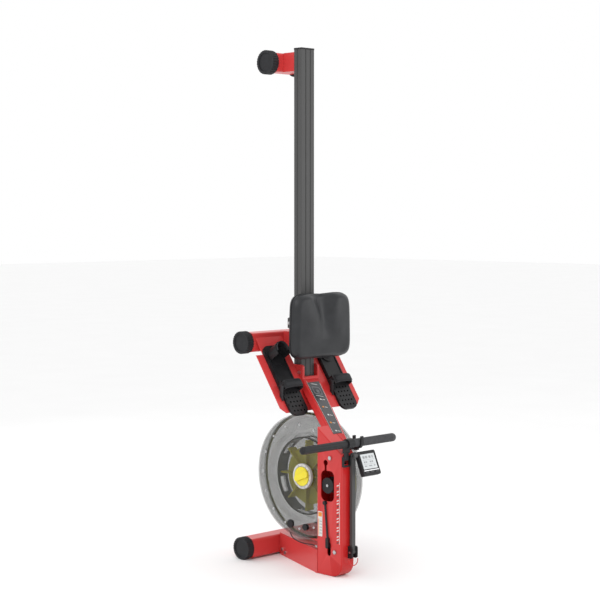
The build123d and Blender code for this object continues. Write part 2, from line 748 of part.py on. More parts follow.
CLIP_HALF = 15.0
CLIP_RADIUS = HANDLE_RADIUS + 5
STRAP_LIFT = SPINE_FRONT + 4
with BuildPart() as handle_clip:
    with BuildSketch(across(HANDLE_SIDE - CLIP_HALF)):
        with Locations((HANDLE_LIFT, HANDLE_Z)):
            Circle(CLIP_RADIUS)
            with Locations((STRAP_LIFT - HANDLE_LIFT, -22)):
                RectangleRounded(10, 26, 2)
        with Locations((HANDLE_LIFT, HANDLE_Z)):
            Circle(HANDLE_RADIUS + 1.5, mode=Mode.SUBTRACT)
    extrude(amount=2 * CLIP_HALF)
    with BuildSketch(across(HANDLE_SIDE)):
        with Locations((HANDLE_LIFT, HANDLE_Z)):
            Circle(HANDLE_RADIUS + 1.5)
            Circle(HANDLE_RADIUS, mode=Mode.SUBTRACT)
    extrude(amount=CLIP_HALF)
save(handle_clip, "handle_clip")

STRAP_FIXED_Z = SPINE_TOP - 22
STRAP_TOP_Z = HANDLE_Z - 35
with BuildPart() as drive_strap:
    with BuildSketch(level(STRAP_FIXED_Z)):
        with Locations((STRAP_SIDE, STRAP_LIFT)):
            Rectangle(STRAP_WIDTH, STRAP_THICK)
    extrude(amount=STRAP_TOP_Z - STRAP_FIXED_Z)
save(drive_strap, "drive_strap")

with BuildPart() as strap_guide:
    with BuildSketch(frontal(SPINE_FRONT + 8)):
        with Locations((STRAP_SIDE, STRAP_FIXED_Z - 4)):
            RectangleRounded(STRAP_WIDTH + 14, 40, 4)
            with Locations((0, 6)):
                Rectangle(STRAP_WIDTH + 4, 40, mode=Mode.SUBTRACT)
    extrude(amount=8)
save(strap_guide, "strap_guide")

HOLDER_SIDE = 110.0
HOLDER_WIDTH = 12.0
CRADLE_RADIUS = HANDLE_RADIUS + 1.5 + GAP
with BuildPart() as handle_holder:
    with BuildSketch(across(HOLDER_SIDE - HOLDER_WIDTH / 2)):
        with Locations((HANDLE_LIFT, HANDLE_Z)):
            Circle(CRADLE_RADIUS + 6)
            with Locations((-30, -16)):
                Rectangle(60, 24)
            with Locations((CRADLE_RADIUS + 3, 12)):
                RectangleRounded(7, 26, 3)
            with Locations((-CRADLE_RADIUS - 3, 12)):
                RectangleRounded(7, 26, 3)
            Circle(CRADLE_RADIUS, mode=Mode.SUBTRACT)
            with Locations((0, 30)):
                Rectangle(2 * CRADLE_RADIUS, 60, mode=Mode.SUBTRACT)
    extrude(amount=HOLDER_WIDTH)
    add(neck_outside, mode=Mode.SUBTRACT)
save(handle_holder, "handle_holder")

# ---------------------------------------------------------------- console

PIN_RADIUS = 4.0
with BuildPart() as console_bracket:
    with BuildSketch(across(ARM_SIDE - ARM_WIDTH / 2 - 6)):
        with Locations((SPINE_FRONT + 11, ARM_PIVOT_Z)):
            RectangleRounded(22, 44, 8)
        with Locations((SPINE_FRONT + 3, ARM_PIVOT_Z)):
            Rectangle(6, 44)
        with Locations((ARM_LIFT, ARM_PIVOT_Z)):
            Circle(PIN_RADIUS + 0.05, mode=Mode.SUBTRACT)
    extrude(amount=ARM_WIDTH + 12)
    with BuildSketch(across(ARM_SIDE - ARM_WIDTH / 2 - GAP)):
        with Locations((SPINE_FRONT + 2 + 50, ARM_PIVOT_Z)):
            Rectangle(100, 100)
    extrude(amount=ARM_WIDTH + 2 * GAP, mode=Mode.SUBTRACT)
save(console_bracket, "console_bracket")

ARM_DEPTH = 11.0
TILT = (544.0, 446.0)
with BuildPart() as console_arm:
    with BuildSketch(across(ARM_SIDE - ARM_WIDTH / 2)):
        with Locations((ARM_LIFT, ARM_PIVOT_Z)):
            Circle(ARM_DEPTH / 2 + 1.5)
        with Locations((ARM_LIFT, (ARM_PIVOT_Z + ARM_TOP_Z) / 2)):
            Rectangle(ARM_DEPTH, ARM_TOP_Z - ARM_PIVOT_Z)
        with Locations(TILT):
            Circle(11)
        with Locations(((TILT[0] + ARM_LIFT) / 2, TILT[1])):
            Rectangle(TILT[0] - ARM_LIFT, 20)
        with Locations((ARM_LIFT, ARM_PIVOT_Z)):
            Circle(PIN_RADIUS, mode=Mode.SUBTRACT)
    extrude(amount=ARM_WIDTH)
    with BuildSketch(across(ARM_SIDE + ARM_WIDTH / 2)):
        with Locations(TILT):
            Circle(PIN_RADIUS)
    extrude(amount=-ARM_WIDTH, mode=Mode.SUBTRACT)
save(console_arm, "console_arm")

CONSOLE_OUTER = ARM_SIDE - ARM_WIDTH / 2 - 4
CONSOLE_WIDTH = 92.0
CONSOLE_MIDDLE = CONSOLE_OUTER - CONSOLE_WIDTH / 2
with BuildPart() as console_pins:
    with BuildSketch(across(ARM_SIDE - ARM_WIDTH / 2 - 8)):
        with Locations((ARM_LIFT, ARM_PIVOT_Z)):
            Circle(PIN_RADIUS)
    extrude(amount=ARM_WIDTH + 16)
    with BuildSketch(across(CONSOLE_OUTER - 12)):
        with Locations(TILT):
            Circle(PIN_RADIUS)
    extrude(amount=ARM_WIDTH + 16)
save(console_pins, "console_pins")

CONSOLE_TILT = 23.0
CONSOLE_HEIGHT = 92.0
CONSOLE_DEPTH = 18.0
SCREEN = (74.0, 56.0)
face_plane = Plane(
    origin=point(CONSOLE_MIDDLE, TILT[0] + 22, TILT[1] - 30),
    x_dir=(-1, 0, 0),
    z_dir=(0, -math.cos(math.radians(CONSOLE_TILT)), math.sin(math.radians(CONSOLE_TILT))),
)
SCREEN_PLACE = (0, -6)
BUTTON_PLACES = ((-26, 34), (0, 34), (26, 34))
BUTTON_SIZE = (16.0, 6.0)
with BuildPart() as console_housing:
    with BuildSketch(face_plane):
        RectangleRounded(CONSOLE_WIDTH, CONSOLE_HEIGHT, 6)
    extrude(amount=-CONSOLE_DEPTH)
    fillet(console_housing.edges().filter_by(Axis.X), 2)
    with BuildSketch(face_plane.offset(-2)):
        with Locations(SCREEN_PLACE):
            Rectangle(SCREEN[0] + 0.6, SCREEN[1] + 0.6)
    extrude(amount=10, mode=Mode.SUBTRACT)
    with BuildSketch(face_plane.offset(-4)):
        with Locations(*BUTTON_PLACES):
            RectangleRounded(BUTTON_SIZE[0] + 0.6, BUTTON_SIZE[1] + 0.6, 1.5)
    extrude(amount=10, mode=Mode.SUBTRACT)
    with BuildSketch(across(CONSOLE_OUTER)):
        with Locations(TILT):
            Circle(PIN_RADIUS + 0.05)
    extrude(amount=-12.5, mode=Mode.SUBTRACT)
save(console_housing, "console_housing")

with BuildPart() as console_screen:
    with BuildSketch(face_plane.offset(-2)):
        with Locations(SCREEN_PLACE):
            Rectangle(*SCREEN)
    extrude(amount=1.2)
save(console_screen, "console_screen")

for number, button_place in enumerate(BUTTON_PLACES, start=1):
    with BuildPart() as console_button:
        with BuildSketch(face_plane.offset(-2.2)):
            with Locations(button_place):
                RectangleRounded(*BUTTON_SIZE, 1.3)
        extrude(amount=4)
    save(console_button, f"console_button_{number}")

# ---------------------------------------------------------------- seat

with BuildPart() as seat_pad:
    with BuildSketch(frontal(SEAT_LIFT + SEAT_THICK)):
        with Locations((0, SEAT_Z)):
            RectangleRounded(2 * SEAT_HALF, SEAT_LENGTH, 42)
    extrude(amount=SEAT_THICK)
    fillet(seat_pad.faces().sort_by(Axis.Y)[0].edges(), 14)
    fillet(seat_pad.faces().sort_by(Axis.Y)[-1].edges(), 6)
save(seat_pad, "seat_pad")

PLATE_INNER = RAIL_WIDTH / 2 + 3.5
PLATE_THICK = 5.0
BASE_BOTTOM = SEAT_LIFT - 12
with BuildPart() as seat_base:
    with BuildSketch(frontal(SEAT_LIFT)):
        with Locations((0, SEAT_Z)):
            RectangleRounded(250, 190, 30)
    extrude(amount=5)
    with BuildSketch(frontal(SEAT_LIFT - 5)):
        with Locations((0, SEAT_Z)):
            RectangleRounded(2 * PLATE_INNER + 2 * PLATE_THICK, 180, 5)
    extrude(amount=7)
save(seat_base, "seat_base")

ROLLER_Z = {"top": SEAT_Z + 70, "bottom": SEAT_Z - 70}
UPPER_ROLLER_LIFT = RAIL_TOP + UPPER_ROLLER + GAP
LOWER_ROLLER_LIFT = RAIL_BOTTOM - LOWER_ROLLER - GAP
with BuildPart() as carriage_plates:
    for side_start, amount in ((PLATE_INNER, PLATE_THICK), (-PLATE_INNER, -PLATE_THICK)):
        with BuildSketch(across(side_start)):
            with Locations(((BASE_BOTTOM + 186) / 2, SEAT_Z)):
                RectangleRounded(BASE_BOTTOM - 186, 176, 4)
            with BuildLine():
                Polyline(
                    (200, SEAT_Z - 50),
                    (200, SEAT_Z + 50),
                    (LOWER_ROLLER_LIFT - 14, SEAT_Z + 18),
                    (LOWER_ROLLER_LIFT - 14, SEAT_Z - 18),
                    close=True,
                )
            make_face()
        extrude(amount=amount)
save(carriage_plates, "carriage_plates")

ROLLER_PIN = 4.0
ROLLER_PLACES = (
    (UPPER_ROLLER_LIFT, ROLLER_Z["top"]),
    (UPPER_ROLLER_LIFT, ROLLER_Z["bottom"]),
    (LOWER_ROLLER_LIFT, SEAT_Z),
)
with BuildPart() as roller_axles:
    for place in ROLLER_PLACES:
        with BuildSketch(across(-PLATE_INNER)):
            with Locations(place):
                Circle(ROLLER_PIN)
        extrude(amount=2 * PLATE_INNER)
        for side_start, amount in (
            (PLATE_INNER + PLATE_THICK, 6),
            (-PLATE_INNER - PLATE_THICK, -6),
        ):
            with BuildSketch(across(side_start)):
                with Locations(place):
                    RegularPolygon(7, 6)
            extrude(amount=amount)
save(roller_axles, "roller_axles")

for roller_name, place, radius in (
    ("upper_roller_top", ROLLER_PLACES[0], UPPER_ROLLER),
    ("upper_roller_bottom", ROLLER_PLACES[1], UPPER_ROLLER),
    ("lower_rollers", ROLLER_PLACES[2], LOWER_ROLLER),
):
    with BuildPart() as rollers:
        for side_start in (18, -34):
            with BuildSketch(across(side_start)):
                with Locations(place):
                    Circle(radius)
                    Circle(ROLLER_PIN + 0.05, mode=Mode.SUBTRACT)
            extrude(amount=16)
    save(rollers, roller_name)

# ---------------------------------------------------------------- fasteners and panel

PANEL_INSET = 12.0
PANEL_THICK = 1.2
panel_down = Vector(*point(SPINE_MIDDLE, SPINE_FRONT, SPINE_TOP)) - Vector(*point(0, NECK_FRONT, NECK_TOP))
with BuildPart() as decal_panel:
    panel_plane = Plane(
        origin=point(0, NECK_FRONT, NECK_TOP),
        x_dir=(-1, 0, 0),
        z_dir=Vector(-1, 0, 0).cross(panel_down).normalized(),
    )
    slope_down = abs(panel_plane.to_local_coords(Vector(*point(SPINE_MIDDLE, SPINE_FRONT, SPINE_TOP))).Y)
    with BuildSketch(panel_plane):
        with BuildLine():
            panel_corners = []
            for along, edge in ((0.05, 1), (0.74, 1), (0.74, -1), (0.05, -1)):
                middle = along * SPINE_MIDDLE
                half = NECK_HALF + along * ((SPINE_OUTER - SPINE_INNER) / 2 - NECK_HALF) - PANEL_INSET
                panel_corners.append((middle + edge * half, along * slope_down))
            Polyline(*panel_corners, close=True)
        make_face()
    extrude(amount=PANEL_THICK)
save(decal_panel, "decal_panel")

with BuildPart() as frame_bolts:
    arm_along = math.atan2(SPINE_BACK - LEG_FRONT, ARM_END[1] - ARM_FOOT[1])
    arm_face = Plane(
        origin=point(ARM_FOOT[1], LEG_FRONT, 0),
        x_dir=(-math.cos(arm_along), -math.sin(arm_along), 0),
        z_dir=(-math.sin(arm_along), math.cos(arm_along), 0),
    )
    with BuildSketch(arm_face):
        with Locations((24, 24), (54, 17)):
            RegularPolygon(7, 6)
    extrude(amount=5)
    with BuildSketch(across(SPINE_OUTER)):
        with Locations((496, 92), (KEY_HOLE[0] + 24, KEY_HOLE[1] + 20)):
            RegularPolygon(8, 6)
    extrude(amount=5)
    with BuildSketch(across(NECK_HALF)):
        with Locations((150, NECK_TOP + 26), (180, NECK_TOP + 26)):
            RegularPolygon(7, 6)
    extrude(amount=5)
save(frame_bolts, "frame_bolts")
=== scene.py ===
"""Looks of the rowing machine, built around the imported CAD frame. Metres."""

import json
import math

import bmesh
import bpy
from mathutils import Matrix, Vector


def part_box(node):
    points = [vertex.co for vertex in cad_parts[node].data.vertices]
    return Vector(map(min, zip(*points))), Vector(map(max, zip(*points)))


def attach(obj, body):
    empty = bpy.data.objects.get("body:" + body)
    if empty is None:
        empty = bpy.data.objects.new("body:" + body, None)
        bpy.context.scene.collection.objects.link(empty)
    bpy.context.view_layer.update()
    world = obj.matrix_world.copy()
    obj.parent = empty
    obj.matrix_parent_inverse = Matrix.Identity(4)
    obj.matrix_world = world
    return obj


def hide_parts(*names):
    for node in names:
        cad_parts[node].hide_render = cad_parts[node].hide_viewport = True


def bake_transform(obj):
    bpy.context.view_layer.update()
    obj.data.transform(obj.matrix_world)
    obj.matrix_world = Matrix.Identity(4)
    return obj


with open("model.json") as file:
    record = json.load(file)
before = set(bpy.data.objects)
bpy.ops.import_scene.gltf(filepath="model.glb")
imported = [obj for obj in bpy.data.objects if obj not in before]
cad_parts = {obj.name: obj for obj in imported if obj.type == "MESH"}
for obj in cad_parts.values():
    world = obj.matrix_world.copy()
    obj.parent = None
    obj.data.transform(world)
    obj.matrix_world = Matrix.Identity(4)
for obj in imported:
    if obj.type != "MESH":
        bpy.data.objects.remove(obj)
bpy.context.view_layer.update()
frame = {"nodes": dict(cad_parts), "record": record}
MM = 0.001

# ---------------------------------------------------------------- places, from the frame

rail_low, rail_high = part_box("rail")
RAIL_X = (rail_low.x + rail_high.x) / 2
RAIL_TOP_LIFT = 0.180
FOOT_Y = rail_low.y + RAIL_TOP_LIFT


def at(side, lift, z):
    """A point from its distances in millimetres: to the side, up from the foot plane, above the floor."""
    return Vector((RAIL_X - side * MM, FOOT_Y - lift * MM, z * MM))


# ---------------------------------------------------------------- camera, light and floor

CAMERA_DISTANCE = 6.0
CAMERA_HEIGHT = 1.32
CAMERA_OFFSET = 0.083
CAMERA_PITCH = math.radians(3.2)
CAMERA_LENS = 92.4
DIAGONAL = math.sqrt(0.5)


def make_camera():
    data = bpy.data.cameras.new("camera")
    data.lens = CAMERA_LENS
    data.sensor_width = 36
    camera = bpy.data.objects.new("camera", data)
    bpy.context.scene.collection.objects.link(camera)
    foot = at(0, 20, 0)
    away = Vector((-DIAGONAL, -DIAGONAL, 0)) * CAMERA_DISTANCE
    right = Vector((DIAGONAL, -DIAGONAL, 0)) * CAMERA_OFFSET
    camera.location = foot + away + right + Vector((0, 0, CAMERA_HEIGHT))
    camera.rotation_euler = (math.pi / 2 - CAMERA_PITCH, 0, -math.pi / 4)
    bpy.context.scene.camera = camera


def make_light(name, place, size, power):
    data = bpy.data.lights.new(name, "AREA")
    data.size = size
    data.energy = power
    light = bpy.data.objects.new(name, data)
    bpy.context.scene.collection.objects.link(light)
    light.location = place
    light.rotation_euler = (Vector((0, 0, 0.8)) - Vector(place)).to_track_quat("-Z", "Y").to_euler()


def make_world():
    world = bpy.data.worlds.new("studio")
    world.use_nodes = True
    background = world.node_tree.nodes["Background"]
    background.inputs["Color"].default_value = (1, 1, 1, 1)
    background.inputs["Strength"].default_value = 1.0
    bpy.context.scene.world = world
    bpy.context.scene.view_settings.view_transform = "Standard"
    make_light("key", (-2.6, -2.2, 3.2), 2.4, 34)
    make_light("side", (2.6, -2.8, 1.6), 1.6, 12)
    make_light("back", (0.5, 3.0, 2.6), 2.0, 16)


# ---------------------------------------------------------------- materials


def node(tree, kind, **settings):
    made = tree.nodes.new(kind)
    for name, value in settings.items():
        made.inputs[name].default_value = value
    return made


def material(name, dark, light, rough, scale=60, bump=0.1, grain=900, metallic=0.0, coat=0.0,
             alpha=1.0, rough_spread=0.08, edge_highlight=None, specular=0.5):
    """A moulded, painted or metal surface: mottled colour, uneven roughness, a fine grain and, when an edge
    colour is given, a painted highlight on convex edges.
    """
    made = bpy.data.materials.new(name)
    made.use_nodes = True
    tree = made.node_tree
    shader = tree.nodes["Principled BSDF"]
    shader.inputs["Metallic"].default_value = metallic
    shader.inputs["Coat Weight"].default_value = coat
    shader.inputs["Coat Roughness"].default_value = 0.12
    shader.inputs["Specular IOR Level"].default_value = specular
    shader.inputs["Alpha"].default_value = alpha
    place = node(tree, "ShaderNodeTexCoord").outputs["Object"]
    mottle = node(tree, "ShaderNodeTexNoise", Scale=scale, Detail=6.0, Roughness=0.6)
    tree.links.new(place, mottle.inputs["Vector"])
    ramp = tree.nodes.new("ShaderNodeValToRGB")
    ramp.color_ramp.elements[0].color = (*dark, 1)
    ramp.color_ramp.elements[1].color = (*light, 1)
    ramp.color_ramp.elements[0].position = 0.3
    ramp.color_ramp.elements[1].position = 0.7
    tree.links.new(mottle.outputs["Fac"], ramp.inputs["Fac"])
    colour = ramp.outputs["Color"]
    # Painted highlight: convex edges, found by pointiness, take the lighter edge colour in place of the light
    # that rounded edges catch.
    if edge_highlight:
        edge = tree.nodes.new("ShaderNodeNewGeometry").outputs["Pointiness"]
        edge_highlight_ramp = tree.nodes.new("ShaderNodeValToRGB")
        edge_highlight_ramp.color_ramp.elements[0].position = 0.52
        edge_highlight_ramp.color_ramp.elements[1].position = 0.62
        tree.links.new(edge, edge_highlight_ramp.inputs["Fac"])
        mix = tree.nodes.new("ShaderNodeMix")
        mix.data_type = "RGBA"
        tree.links.new(edge_highlight_ramp.outputs["Color"], mix.inputs["Factor"])
        tree.links.new(colour, mix.inputs[6])
        mix.inputs[7].default_value = (*edge_highlight, 1)
        colour = mix.outputs[2]
    tree.links.new(colour, shader.inputs["Base Color"])
    span = tree.nodes.new("ShaderNodeMapRange")
    span.inputs["To Min"].default_value = rough - rough_spread
    span.inputs["To Max"].default_value = rough + rough_spread
    tree.links.new(mottle.outputs["Fac"], span.inputs["Value"])
    tree.links.new(span.outputs["Result"], shader.inputs["Roughness"])
    fine = node(tree, "ShaderNodeTexNoise", Scale=grain, Detail=3.0)
    tree.links.new(place, fine.inputs["Vector"])
    bumps = node(tree, "ShaderNodeBump", Strength=bump, Distance=0.0004)
    tree.links.new(fine.outputs["Fac"], bumps.inputs["Height"])
    tree.links.new(bumps.outputs["Normal"], shader.inputs["Normal"])
    return made


def woven(name, dark, light, pitch):
    """Webbing: two crossed waves for the weave, in colour and in relief."""
    made = material(name, dark, light, 0.75, scale=90, bump=0.2)
    tree = made.node_tree
    shader = tree.nodes["Principled BSDF"]
    place = tree.nodes.new("ShaderNodeTexCoord").outputs["Object"]
    waves = []
    for direction in ("X", "Z"):
        wave = node(tree, "ShaderNodeTexWave", Scale=1 / pitch, Distortion=0.4)
        wave.bands_direction = direction
        tree.links.new(place, wave.inputs["Vector"])
        waves.append(wave.outputs["Fac"])
    weave = tree.nodes.new("ShaderNodeMath")
    weave.operation = "MULTIPLY"
    tree.links.new(waves[0], weave.inputs[0])
    tree.links.new(waves[1], weave.inputs[1])
    bumps = node(tree, "ShaderNodeBump", Strength=0.5, Distance=0.0006)
    tree.links.new(weave.outputs[0], bumps.inputs["Height"])
    tree.links.new(bumps.outputs["Normal"], shader.inputs["Normal"])
    return made


def ridged(name, dark, light, pitch, direction, rough=0.6):
    """A rubber surface with moulded ridges across one direction."""
    made = material(name, dark, light, rough, bump=0.2)
    tree = made.node_tree
    place = tree.nodes.new("ShaderNodeTexCoord").outputs["Object"]
    wave = node(tree, "ShaderNodeTexWave", Scale=1 / pitch, Distortion=0.0)
    wave.bands_direction = direction
    tree.links.new(place, wave.inputs["Vector"])
    bumps = node(tree, "ShaderNodeBump", Strength=0.6, Distance=0.0008)
    tree.links.new(wave.outputs["Fac"], bumps.inputs["Height"])
    tree.links.new(bumps.outputs["Normal"], tree.nodes["Principled BSDF"].inputs["Normal"])
    return made


def make_materials():
    black = (0.018, 0.018, 0.02)
    return {
        # frame_red and rail_black take a lighter colour on convex edges: a painted highlight.
        "frame_red": material("frame_red", (0.47, 0.008, 0.008), (0.56, 0.011, 0.011), 0.34, scale=9,
                              bump=0.06, grain=420, coat=0.12, specular=0.3, edge_highlight=(0.62, 0.05, 0.05)),
        "rail_black": material("rail_black", (0.016, 0.016, 0.016), (0.024, 0.023, 0.022), 0.45, scale=14,
                               bump=0.08, grain=1500, specular=0.3, edge_highlight=(0.07, 0.07, 0.07)),
        "rubber_black": material("rubber_black", black, (0.026, 0.027, 0.03), 0.62, bump=0.25, grain=700,
                                 specular=0.25),
        "plastic_black": material("plastic_black", (0.008, 0.008, 0.009), (0.016, 0.016, 0.018), 0.42, bump=0.3,
                                  grain=1300, specular=0.3),
        "seat_skin": material("seat_skin", (0.012, 0.013, 0.015), (0.020, 0.021, 0.024), 0.36, scale=24,
                              bump=0.35, grain=1400, specular=0.4),
        "tank_clear": material("tank_clear", (0.040, 0.042, 0.038), (0.085, 0.088, 0.075), 0.10, scale=5,
                               bump=0.03, grain=30, alpha=0.30, rough_spread=0.03, coat=0.3),
        "gasket_olive": material("gasket_olive", (0.13, 0.125, 0.03), (0.20, 0.19, 0.05), 0.5),
        "impeller_yellow": material("impeller_yellow", (0.46, 0.42, 0.02), (0.62, 0.56, 0.03), 0.35,
                                    scale=12),
        "reservoir_grey": material("reservoir_grey", (0.045, 0.046, 0.042), (0.08, 0.08, 0.07), 0.3, scale=8),
        "dial_yellow": material("dial_yellow", (0.80, 0.66, 0.0), (0.88, 0.78, 0.01), 0.3, scale=30,
                                coat=0.4),
        "bezel_white": material("bezel_white", (0.55, 0.55, 0.54), (0.68, 0.68, 0.67), 0.3, scale=30),
        "steel": material("steel", (0.42, 0.42, 0.43), (0.60, 0.60, 0.61), 0.28, scale=120, metallic=1.0),
        "webbing_black": woven("webbing_black", (0.012, 0.012, 0.014), (0.03, 0.03, 0.034), 0.012),
        "grip_grey": ridged("grip_grey", (0.035, 0.035, 0.038), (0.06, 0.06, 0.065), 0.02, "X"),
        "panel_print": material("panel_print", (0.014, 0.014, 0.018), (0.022, 0.022, 0.027), 0.3, coat=0.5),
        "screen": material("screen", (0.50, 0.53, 0.54), (0.58, 0.61, 0.62), 0.15, scale=20, coat=0.8),
        "print_white": material("print_white", (0.62, 0.62, 0.60), (0.74, 0.74, 0.72), 0.4),
        "print_orange": material("print_orange", (0.70, 0.20, 0.01), (0.80, 0.28, 0.02), 0.4),
        "print_mid": material("print_mid", (0.24, 0.25, 0.26), (0.30, 0.31, 0.32), 0.4),
        "print_grey": material("print_grey", (0.10, 0.10, 0.11), (0.16, 0.16, 0.17), 0.4),
    }


materials = make_materials()


def finish_cad():
    """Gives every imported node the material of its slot."""
    slots = {entry["node"]: entry["material_slot"] for entry in frame["record"]["subparts"]}
    for name, piece in frame["nodes"].items():
        piece.data.materials.clear()
        piece.data.materials.append(materials[slots[name]])


# ---------------------------------------------------------------- mesh helpers


def make_piece(name, vertices, faces, slot, body, look=None, smooth=True):
    mesh = bpy.data.meshes.new(name)
    mesh.from_pydata([tuple(v) for v in vertices], [], faces)
    builder = bmesh.new()
    builder.from_mesh(mesh)
    bmesh.ops.recalc_face_normals(builder, faces=builder.faces)
    builder.to_mesh(mesh)
    builder.free()
    for polygon in mesh.polygons:
        polygon.use_smooth = smooth
    piece = bpy.data.objects.new(name, mesh)
    bpy.context.scene.collection.objects.link(piece)
    mesh.materials.append(materials[look or slot])
    if body:
        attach(piece, body)
    return piece


def swept(name, path, section, slot, body, look=None, closed=False, side_axis=None):
    """Sweeps a closed section, given as (across, out) pairs, along a path of points."""
    vertices, faces = [], []
    count = len(section)
    total = len(path)
    for index, place in enumerate(path):
        before = path[index - 1] if closed or index else path[0]
        after = path[(index + 1) % total] if closed or index < total - 1 else path[-1]
        along = (after - before).normalized()
        across = side_axis or along.cross(Vector((0, 0, 1))).normalized()
        out = across.cross(along).normalized()
        vertices += [place + across * a + out * b for a, b in section]
    for ring in range(total if closed else total - 1):
        following = (ring + 1) % total
        for corner in range(count):
            turn = (corner + 1) % count
            faces.append((ring * count + corner, ring * count + turn, following * count + turn,
                          following * count + corner))
    if not closed:
        faces.append(tuple(range(count)))
        faces.append(tuple((total - 1) * count + corner for corner in range(count)))
    return make_piece(name, vertices, faces, slot, body, look)


def ring_section(radius, count=16):
    angles = [math.tau * i / count for i in range(count)]
    return [(radius * math.cos(angle), radius * math.sin(angle)) for angle in angles]


def slab(name, origin, right, up, outline, thick, slot, body, look=None, crown=0.0):
    """A thin plate with a rounded front edge: outline is in (right, up) millimetres from the origin."""
    outward = right.cross(up).normalized()
    middle = Vector((sum(p[0] for p in outline) / len(outline), sum(p[1] for p in outline) / len(outline)))
    layers = ((1.0, 0.0), (1.0, 0.7), (0.97, 1.0), (0.5, 1.0 + crown))
    vertices, faces = [], []
    count = len(outline)
    for shrink, height in layers:
        for x, y in outline:
            px = middle.x + (x - middle.x) * shrink
            py = middle.y + (y - middle.y) * shrink
            vertices.append(origin + right * px * MM + up * py * MM + outward * thick * height * MM)
    for layer in range(len(layers) - 1):
        for corner in range(count):
            turn = (corner + 1) % count
            faces.append((layer * count + corner, layer * count + turn,
                          (layer + 1) * count + turn, (layer + 1) * count + corner))
    faces.append(tuple(range(count)))
    faces.append(tuple(range((len(layers) - 1) * count, len(layers) * count)))
    return make_piece(name, vertices, faces, slot, body, look, smooth=False)


def rounded(width, height, radius, steps=5):
    """A rounded rectangle's outline about the origin."""
    points = []
    for turn, (cx, cy) in enumerate(((1, 1), (-1, 1), (-1, -1), (1, -1))):
        for step in range(steps + 1):
            angle = math.pi / 2 * (turn + step / steps)
            points.append((cx * (width / 2 - radius) + radius * math.cos(angle),
                           cy * (height / 2 - radius) + radius * math.sin(angle)))
    return points


# ---------------------------------------------------------------- seat pad

SEAT_WIDER = 1.04
SEAT_LONGER = 1.05
SEAT_DROP = 0.005
SEAT_RINGS = 26
SEAT_STEPS = 96


def build_seat():
    """A moulded seat: two crowned lobes, a notch at the back edge and thigh channels at the front edge."""
    low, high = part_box("seat_pad")
    half_x = (high.x - low.x) / 2 * SEAT_WIDER
    half_z = (high.z - low.z) / 2 * SEAT_LONGER
    thick = high.y - low.y
    middle = (low + high) / 2 - Vector((0, 0, SEAT_DROP))

    def outline(angle):
        """A superellipse with a shallow notch at the top."""
        power = 2 / 6.5
        x = math.copysign(abs(math.cos(angle)) ** power, math.cos(angle))
        z = math.copysign(abs(math.sin(angle)) ** power, math.sin(angle))
        taper = 1 - 0.02 * (1 + z)
        notch = 0.02 * math.exp(-((x / 0.16) ** 2)) if z > 0 else 0.0
        return x * taper * half_x, (z - notch - 0.02 * z * (1 - x * x)) * half_z

    def crown(x, z):
        """Height of the face above the rim, from 0 to 1, at x and z from -1 to 1."""
        lobes = math.exp(-(((abs(x) - 0.46) / 0.34) ** 2) - ((z - 0.15) / 0.75) ** 2)
        valley = 0.75 * math.exp(-((x / 0.24) ** 2)) * max(0.30 + 0.70 * z, 0)
        notch = 1.1 * math.exp(-((x / (0.05 + 0.42 * max(z - 0.25, 0))) ** 2)) * max(z - 0.15, 0)
        thighs = 0.30 * math.exp(-(((abs(x) - 0.5) / 0.26) ** 2)) * max(-z - 0.25, 0)
        return 0.62 + 0.38 * lobes - valley - notch - thighs

    vertices, faces = [], []
    levels = [(1.0, 0.0), (1.0, 0.12), (1.0, 0.34), (0.995, 0.50)]
    levels += [(1 - (i / SEAT_RINGS) ** 1.15, None) for i in range(1, SEAT_RINGS)]
    for shrink, height in levels:
        for step in range(SEAT_STEPS):
            x, z = outline(math.tau * step / SEAT_STEPS)
            x *= shrink
            z *= shrink
            if height is None:
                edge = 1 - (1 - min((1 - shrink) / 0.16, 1)) ** 2
                base = 0.50 + 0.50 * edge * crown(x / half_x, z / half_z)
            else:
                base = height
            waist = 0.97 if height == 0.0 else 1.0
            vertices.append(Vector((middle.x + x * waist, high.y - base * thick, middle.z + z * waist)))
    for ring in range(len(levels) - 1):
        for step in range(SEAT_STEPS):
            turn = (step + 1) % SEAT_STEPS
            faces.append((ring * SEAT_STEPS + step, ring * SEAT_STEPS + turn,
                          (ring + 1) * SEAT_STEPS + turn, (ring + 1) * SEAT_STEPS + step))
    faces.append(tuple(range(SEAT_STEPS)))
    top = len(vertices)
    centre_height = 0.50 + 0.50 * crown(0, 0)
    vertices.append(Vector((middle.x, high.y - centre_height * thick, middle.z)))
    last = (len(levels) - 1) * SEAT_STEPS
    for step in range(SEAT_STEPS):
        faces.append((last + step, last + (step + 1) % SEAT_STEPS, top))
    pad = make_piece("seat_cushion", vertices, faces, "seat_skin", "seat")
    subdivide = pad.modifiers.new("smooth", "SUBSURF")
    subdivide.levels = 1
    subdivide.render_levels = 1
    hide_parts("seat_pad")
    trim_path = []
    for step in range(SEAT_STEPS):
        x, z = outline(math.tau * step / SEAT_STEPS)
        trim_path.append(Vector((middle.x + x * 1.004, high.y - 0.30 * thick, middle.z + z * 1.004)))
    swept("seat_seam", trim_path, ring_section(0.0016, 8), "plastic_black", "seat", closed=True)


# ---------------------------------------------------------------- foot straps

SLOPE_TOP = (79.3, 850.0)
SLOPE_BOTTOM = (262.0, 582.0)
SLOPE = math.atan2(SLOPE_BOTTOM[0] - SLOPE_TOP[0], SLOPE_TOP[1] - SLOPE_BOTTOM[1])
HEEL_Z = 806.0
HEEL_LIFT = SLOPE_TOP[0] + (SLOPE_TOP[1] - HEEL_Z) * math.tan(SLOPE)
FOOT_SIDE = 135.0


def on_foot(side, across, along, above):
    """A point on a footplate: across it, from heel to toe, and above its carrier, in millimetres."""
    lift = HEEL_LIFT + above * math.cos(SLOPE) + along * math.sin(SLOPE)
    return at(side + across, lift, HEEL_Z + above * math.sin(SLOPE) - along * math.cos(SLOPE))


